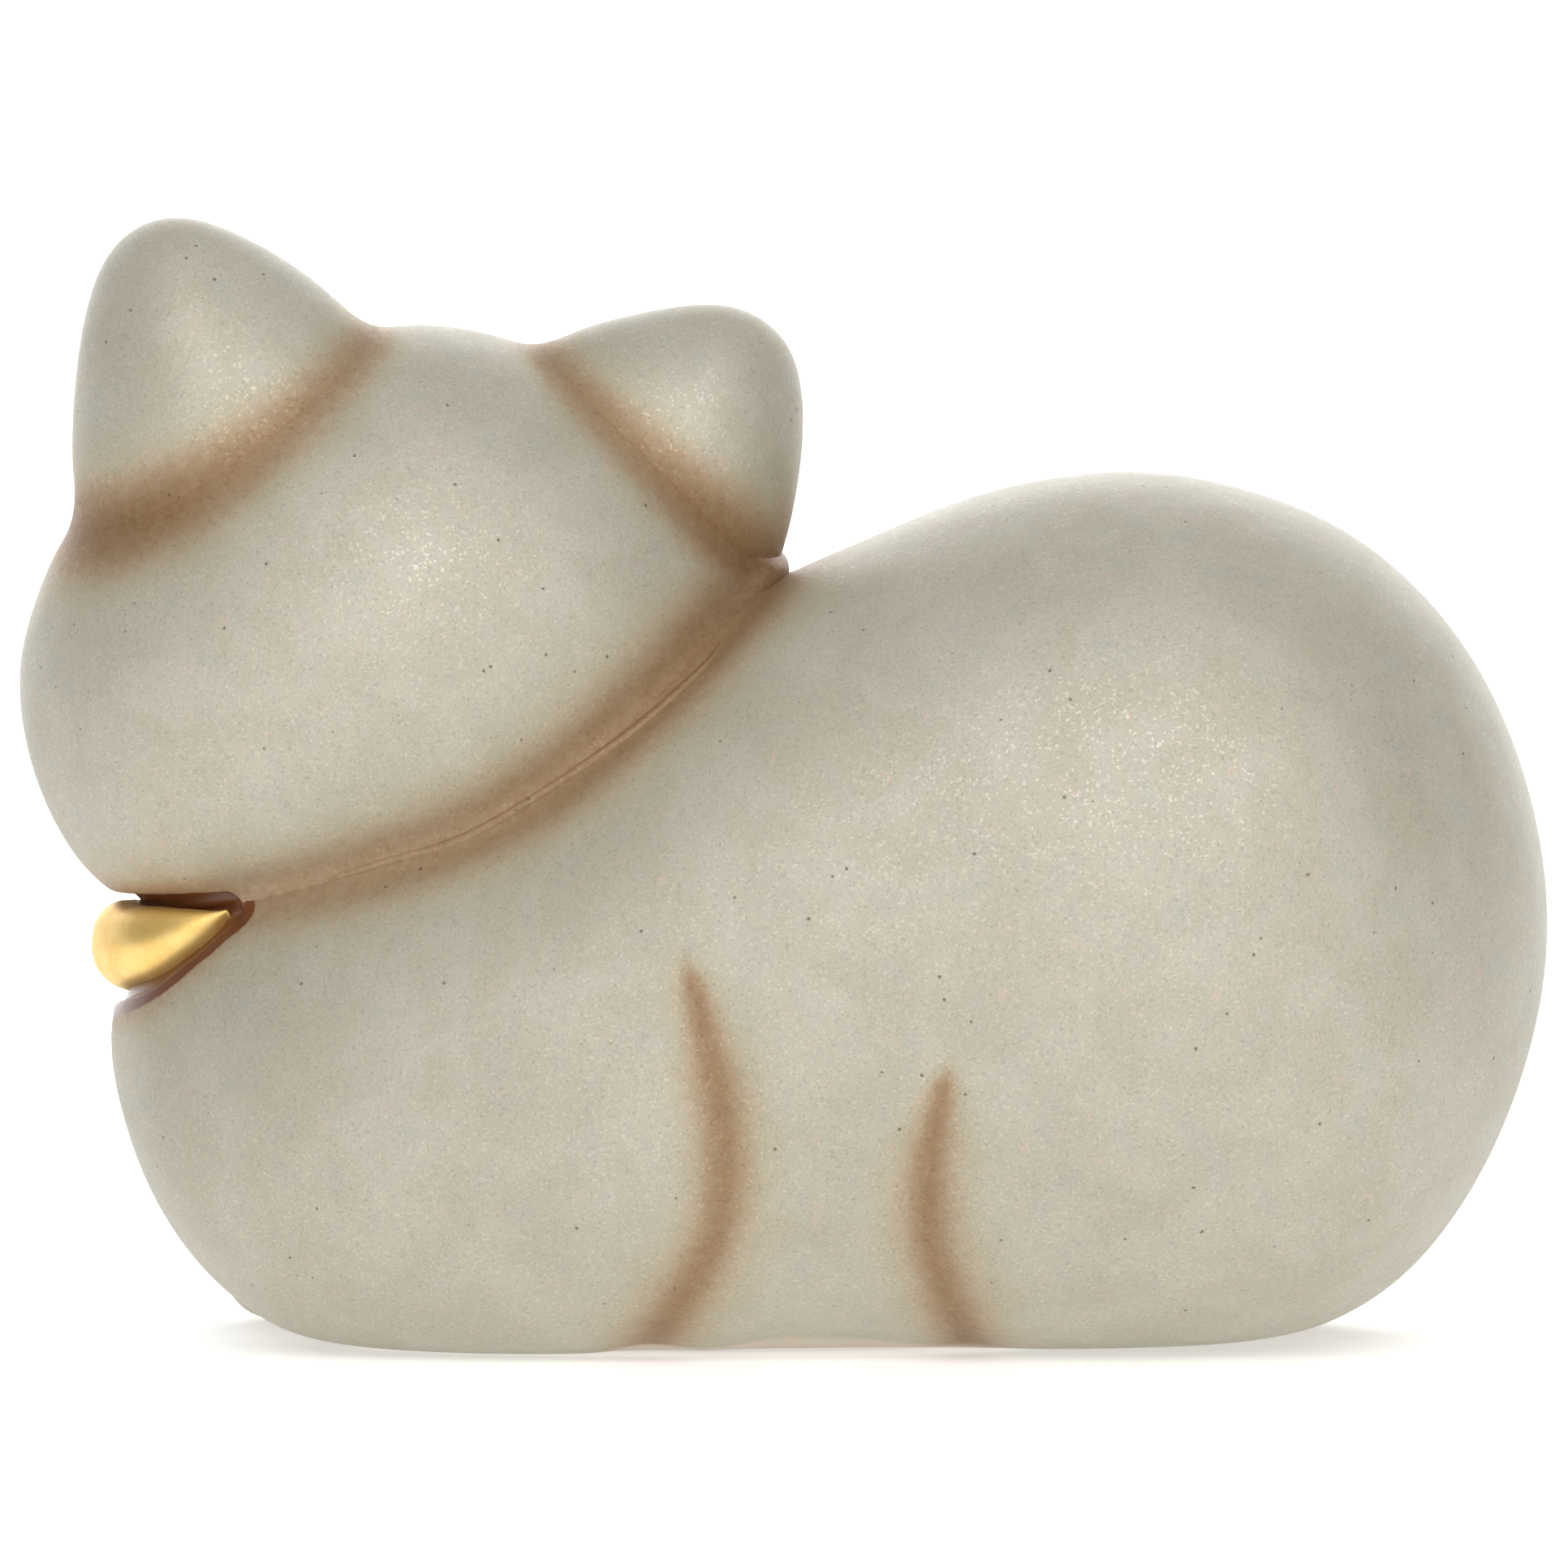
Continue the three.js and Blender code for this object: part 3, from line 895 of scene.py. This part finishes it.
def coats(p, sprayed, bare=None, extraLine=0.0):
    return {
        "airbrush": sprayed,
        "linePaint": np.clip(linePaintReach + extraLine - scarfGap(p), 0, linePaintReach),
        "bareClay": 0 * sprayed if bare is None else bare,
    }


def paintBody(p):
    sprayed = neckBand(p, headMass.distance(p), airbrush["neckBody"])
    flank = np.clip((np.abs(p[:, 1]) - 6) / 8, 0, 1)
    for fold in ("elbowFold", "haunchFold"):
        gap = foldGap(p, fold)
        # A thin line at the top that spreads as it runs down.
        down = bodyShape[fold][0][1] - p[:, 2]
        gap = gap / (0.22 + 0.78 * np.clip(down / 14, 0, 1))
        coat = flank * np.clip(down / 4.5, 0, 1) * (band(gap, "foldCore") + band(gap, "foldSoft"))
        sprayed = np.maximum(sprayed, coat)
    for limb in (*pawMasses.values(), tailMass):
        sprayed = np.maximum(sprayed, band(limb.distance(p), "limb"))
    sprayed = np.maximum(sprayed, band(scarfGap(p), "scarf"))
    inside = bodyMass.base(p) < -bodyShape["wall"] / 2
    # The kiln shelf leaves a patch of bare clay round the vent.
    x, y = bodyShape["ventPlace"]
    halfX, halfY = bodyShape["bareClayHalf"]
    away = np.hypot((p[:, 0] - x) / halfX, (p[:, 1] - y) / halfY)
    bare = np.clip((1.05 - away) * 12, 0, 1) * (p[:, 2] < 2)
    return coats(p, sprayed * ~inside, np.maximum(bare, inside), airbrush["lineOnBody"])


def paintHead(p):
    sprayed = neckBand(p, bodyMass.distance(p), airbrush["neckHead"])
    for ear in (leftEarMass, rightEarMass):
        sprayed = np.maximum(sprayed, earBand(p, ear.distance(p), ear))
    return coats(p, np.maximum(sprayed, band(scarfGap(p), "scarf")))


def paintEar(p, ear):
    sprayed = earBand(p, headMass.distance(p), ear)
    sprayed = np.maximum(sprayed, neckBand(p, bodyMass.distance(p), airbrush["neckHead"]))
    inDish = np.clip(1 - ear.dish.distance(p) / 1.2, 0, 1) * (p[:, 1] > 0)
    return coats(p, np.maximum(sprayed, airbrush["dish"] * inDish))


def paintPaw(p, relief):
    # The brown lies in the toe creases too.
    sprayed = band(bodyMass.distance(p), "limb")
    return coats(p, np.maximum(sprayed, airbrush["toe"] * relief(p) / toeDepth))


def scarfZone(p):
    return scarfGap(p) < neckerchief["fineZone"]


def hollowRoom():
    room = Hollow(bodyMass, bodyShape["wall"], bodyShape["floor"])
    return meshOf("hollowRoom", *ballSkin(room, [], bodyShape["roomCuts"], bodyShape["roomReach"]))


def uprightCut(half, low, high, sides=64):
    turn = np.linspace(0, 2 * np.pi, sides, endpoint=False)
    centre = np.array([*bodyShape["ventPlace"], 0])
    outline = np.column_stack([half[0] * np.cos(turn), half[1] * np.sin(turn), 0 * turn]) + centre
    levels = [np.array([0, 0, low]), np.array([0, 0, high])]
    points = np.vstack([outline + level for level in levels] + [centre + level for level in levels])
    return meshOf("uprightCut", points, ringFaces(2, sides))


limbs = [(mass, seams["limb"]) for mass in (*pawMasses.values(), tailMass)]

neighbours = [(headMass, seams["neck"]), *limbs]
skin, faces = ballSkin(bodyMass, neighbours, bodyShape["cuts"], bodyShape["reach"], fineZone=scarfZone)
skin = pressIn(skin, bodyMass, bodyRelief(skin))
cadLow, cadHigh = [np.array(corner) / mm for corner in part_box("body_shell")]
shift = (cadLow + cadHigh) / 2 - (skin.min(0) + skin.max(0)) / 2
shift[2] = 0

pearl = makePearlGlaze()
gold = makeGoldLustre()
brown = makeBrownGlaze()
print("glazes mixed")

bodyShell = meshOf("bodyShell", skin, faces)
carve(bodyShell, [
    hollowRoom(),
    uprightCut([bodyShape["ventRadius"]] * 2, -2, bodyShape["floor"] + 3),
    uprightCut(bodyShape["recessHalf"], -2, bodyShape["recessDepth"]),
])
finishPiece(bodyShell, "body_shell", pearl, paintBody(pointsOf(bodyShell)))
print("body", len(skin), shift)

neighbours = [(bodyMass, seams["neck"]), (leftEarMass, seams["ear"]), (rightEarMass, seams["ear"])]
skin, faces = ballSkin(headMass, neighbours, headShape["cuts"], headShape["reach"],
                       host=bodyMass, fineZone=scarfZone)
skin = pressIn(skin, headMass, headRelief(skin))
headShell = meshOf("headShell", skin, faces)
finishPiece(headShell, "head_shell", pearl, paintHead(skin))
print("head", len(skin))

for name, node, ear, shape in (("leftEar", "left_ear", leftEarMass, leftEarShape),
                               ("rightEar", "right_ear", rightEarMass, rightEarShape)):
    skin, faces = ballSkin(ear, [(headMass, seams["ear"]), (bodyMass, seams["nape"])],
                           shape["cuts"], shape["reach"], shape["heart"], headMass)
    finishPiece(meshOf(name, skin, faces), node, pearl, paintEar(skin, ear))

for name, node in (("leftFrontPaw", "left_front_paw"), ("rightFrontPaw", "right_front_paw"),
                   ("hindPaw", "hind_paw")):
    paw, relief = pawMasses[name], pawRelief(name)
    skin, faces = ballSkin(paw, [(bodyMass, seams["limb"])], pawCuts, pawReach, host=bodyMass)
    skin = pressIn(skin, paw, relief(skin))
    finishPiece(meshOf(name, skin, faces), node, pearl, paintPaw(skin, relief))
print("ears and paws")


def makeTail():
    count, sides = tailShape["rings"], tailShape["sides"]
    curve = smoothCurve(tailShape["line"], count)
    along = np.gradient(curve, axis=0)
    along /= np.linalg.norm(along, axis=1)[:, None]
    across = np.cross(along, [0, 0, 1])
    across /= np.linalg.norm(across, axis=1)[:, None]
    up = np.cross(across, along)
    tipRings = tailShape["tipRings"]
    radius = tailShape["radius"] * (1 - tailShape["taper"] * np.linspace(0, 1, count))
    # The last rings fan round the end of the curve into a rounded tip.
    body = count - round(radius[-1] / (np.linalg.norm(curve[1] - curve[0])))
    tilt = np.concatenate([np.zeros(body), np.linspace(0, np.pi / 2, tipRings + 1)[1:-1]])
    pick = np.concatenate([np.arange(body), np.full(tipRings - 1, body - 1)])
    turn = np.linspace(0, 2 * np.pi, sides, endpoint=False)
    way = across[pick, None] * np.cos(turn)[:, None] + up[pick, None] * np.sin(turn)[:, None]
    way = way * np.cos(tilt)[:, None, None] + (along[pick] * np.sin(tilt)[:, None])[:, None]
    origin = np.repeat(curve[pick], sides, axis=0)
    way = way.reshape(-1, 3)
    tube = Bar(curve[:body], radius[:body])
    skin = settle(tube, [(bodyMass, seams["limb"])], origin, way, tailShape["reach"])
    skin = np.maximum(skin, [-1e3, -1e3, 0])
    tip = curve[body - 1] + along[body - 1] * radius[body - 1]
    points = np.vstack([skin, curve[:1], [tip]])
    return points, ringFaces(len(pick), sides)


skin, faces = makeTail()
curledTail = meshOf("curledTail", skin, faces)
carve(curledTail, [hollowRoom()])
skin = pointsOf(curledTail)
finishPiece(curledTail, "tail", pearl,
            coats(skin, band(bodyMass.distance(skin), "limb"), skin[:, 2] < 0.05))
print("tail")


def makeNeckerchief():
    # The pad spans straight from its lower rim to its upper one and puffs out between them.
    rows, columns = neckerchief["rows"], neckerchief["columns"]
    v = np.linspace(0, 1, columns)
    span = upperRim - lowerRim
    width = np.linalg.norm(span, axis=1)
    low = lowerRim + span * 0.25
    way = outward(bodyMass.distance, low)
    for _ in range(40):
        way[1:-1] = (way[:-2] + way[1:-1] + way[2:]) / 3
    way -= span * ((way * span).sum(1) / np.maximum(width ** 2, 0.5))[:, None] * 0.8
    way /= np.linalg.norm(way, axis=1)[:, None]
    crown = np.clip(1 - np.abs(2 * v - 1) ** 2.4, 0, 1) ** 0.5
    puff = np.minimum(neckerchief["puff"], neckerchief["puffByWidth"] * width)
    sink = np.minimum(neckerchief["sink"], 0.5 * width)
    flat = lowerRim[:, None] + span[:, None] * v[:, None]
    top = flat + way[:, None] * (crown * (puff + sink)[:, None] - sink[:, None])[..., None]
    under = flat - way[:, None] * (sink[:, None] + neckerchief["thickness"] * crown)[..., None]
    rings = np.concatenate([top, under[:, -2:0:-1]], axis=1)
    points = np.vstack([rings[1:-1].reshape(-1, 3), flat[0, :1], flat[-1, :1]])
    return points, ringFaces(rows - 2, rings.shape[1])


skin, faces = makeNeckerchief()
finishPiece(meshOf("goldNeckerchief", skin, faces), "gold_neckerchief", gold)

neckSlip = {
    "line": [(-4.8, -1, 71.2), (-7.9, -1, 66.9), (-16.1, -1, 59.8), (-29.3, -1, 51.3),
             (-38.8, -1, 48.1), (-46.5, -1, 45.8)],
    "radius": 0.65,
    "proud": -0.34,
}

faceMarks = {
    "leftEyeLine": [(-58.5, 1, 67.5), (-55, 1, 64.6), (-51, 1, 64.1), (-47.6, 1, 66)],
    "rightEyeLine": [(-30.4, 1, 66), (-27, 1, 64.1), (-23, 1, 64.6), (-19.5, 1, 67.5)],
    "mouthLine": [(-46.5, 1, 56.4), (-43.4, 1, 53.4), (-39, 1, 56.2), (-34.6, 1, 53.4), (-31.5, 1, 56.4)],
    "lineRadius": 0.95,
    "nosePlace": (-39, 1, 60.2),
    "noseSize": (3.4, 2.2, 2.4),
}


def slipTrail(field, line, radius, proud, count=90):
    curve = lineOn(field, line, count)
    up = outward(field, curve)
    t = np.linspace(0, 1, count)
    thick = radius * np.clip(1 - np.abs(2 * t - 1) ** 5, 0, 1) ** 0.5
    return ovalBar(curve + up * proud, up, thick, thick * 0.9)


skin, faces = slipTrail(neckField, neckSlip["line"], neckSlip["radius"], neckSlip["proud"], 160)
finishPiece(meshOf("neckSlipBead", skin, faces), "neck_slip_bead", pearl,
            coats(skin, neckBand(skin, 0 * skin[:, 0], airbrush["neckHead"])))


def faceField(p):
    return headMass.distance(p) + headRelief(p)


for name, node in (("leftEyeLine", "left_eye_line"), ("rightEyeLine", "right_eye_line"),
                   ("mouthLine", "mouth_line")):
    skin, faces = slipTrail(faceField, faceMarks[name], faceMarks["lineRadius"], 0)
    finishPiece(meshOf(name, skin, faces), node, brown)


def makeNose():
    # A soft heart-like triangle, wide at the top, pressed on the muzzle.
    centre = lineOn(faceField, [faceMarks["nosePlace"]] * 2, 2)[0]
    ball = directionBall(round(30 * fineness))
    way = np.array([vert.co for vert in ball.verts])
    way /= np.linalg.norm(way, axis=1)[:, None]
    faces = [[vert.index for vert in face.verts] for face in ball.faces]
    ball.free()
    narrow = 0.72 + 0.28 * np.tanh(way[:, 2] * 2.2)
    dip = 1 - 0.16 * bell(way[:, 0] / 0.3) * np.clip(way[:, 2], 0, 1)
    skin = centre + way * faceMarks["noseSize"] * np.column_stack([narrow, np.ones(len(way)), dip])
    return skin, faces


skin, faces = makeNose()
finishPiece(meshOf("noseTip", skin, faces), "nose", brown)
print("neckerchief, bead and face")

studio = {
    "floorTone": 0.95,
    "paperGlow": 0.4,
    "airBright": 0.85,
    "airSide": 0.12,
    "lights": {
        "softKey": {
            "place": (0.15, -1.25, 0.75), "size": (1.5, 1.2), "power": 11.0,
            "aim": (0, 0, 0.05), "spread": 180},
        "paperLight": {
            "place": (0, 1.7, 2.2), "size": (3.0, 1.0), "power": 60.0,
            "aim": (0, 3.0, 0.7), "spread": 120},
    },
    "lens": 280,
    "elevation": 1.5,
    "distance": 1.2,
    "target": (0, 0, 0.0551),
}


def makeSweep():
    # A pale sheet that lies flat under the figurine and curves up behind it.
    profile = [(-3, 0), (2.4, 0)]
    for step in range(1, 13):
        bend = math.radians(90 * step / 12)
        profile.append((2.4 + 0.6 * math.sin(bend), 0.6 - 0.6 * math.cos(bend)))
    profile.append((3.0, 4.0))
    points = [(x, y, z) for y, z in profile for x in (-5, 5)]
    faces = [(2 * i, 2 * i + 1, 2 * i + 3, 2 * i + 2) for i in range(len(profile) - 1)]
    mesh = bpy.data.meshes.new("paperSweep")
    mesh.from_pydata(points, [], faces)
    mesh.polygons.foreach_set("use_smooth", [True] * len(mesh.polygons))
    sweep = bpy.data.objects.new("paperSweep", mesh)
    bpy.context.scene.collection.objects.link(sweep)
    f = Finish(bpy.data.materials.new("palePaper"))
    tone = studio["floorTone"]
    mesh.materials.append(f.shader({
        "Base Color": (tone, tone, tone, 1), "Roughness": 0.9,
        "Emission Color": (1, 1, 1, 1), "Emission Strength": studio["paperGlow"]}))


def makeLights():
    # The air of a light tent: bright in front, above and behind, dimmer at the two sides.
    world = bpy.data.worlds.new("studioAir")
    bpy.context.scene.world = world
    f = Finish(world)
    way = f.node("ShaderNodeTexCoord", out="Generated")
    side = f.node("ShaderNodeSeparateXYZ", {}, {"Vector": way}, "X").maths("ABSOLUTE")
    level = f.stretch(side, 0.3, 0.95, studio["airBright"], studio["airSide"])
    air = f.node("ShaderNodeBackground", {}, {"Strength": level})
    f.node("ShaderNodeOutputWorld", {}, {"Surface": air})
    for name, look in studio["lights"].items():
        light = bpy.data.lights.new(name, "AREA")
        light.energy = look["power"]
        light.shape = "RECTANGLE"
        light.size, light.size_y = look["size"]
        light.spread = math.radians(look["spread"])
        lamp = bpy.data.objects.new(name, light)
        lamp.location = look["place"]
        aim = Vector(look["aim"]) - lamp.location
        lamp.rotation_euler = aim.to_track_quat("-Z", "Y").to_euler()
        bpy.context.scene.collection.objects.link(lamp)


def makeCamera():
    camera = bpy.data.cameras.new("viewer")
    camera.lens = studio["lens"]
    camera.clip_start = 0.01
    viewer = bpy.data.objects.new("viewer", camera)
    tilt = math.radians(studio["elevation"])
    away = Vector((0, -math.cos(tilt), math.sin(tilt))) * studio["distance"]
    viewer.location = Vector(studio["target"]) + away
    viewer.rotation_euler = (-away).to_track_quat("-Z", "Y").to_euler()
    bpy.context.scene.collection.objects.link(viewer)
    bpy.context.scene.camera = viewer


makeSweep()
makeLights()
makeCamera()
bpy.context.scene.view_settings.view_transform = "Standard"
print("stage set")
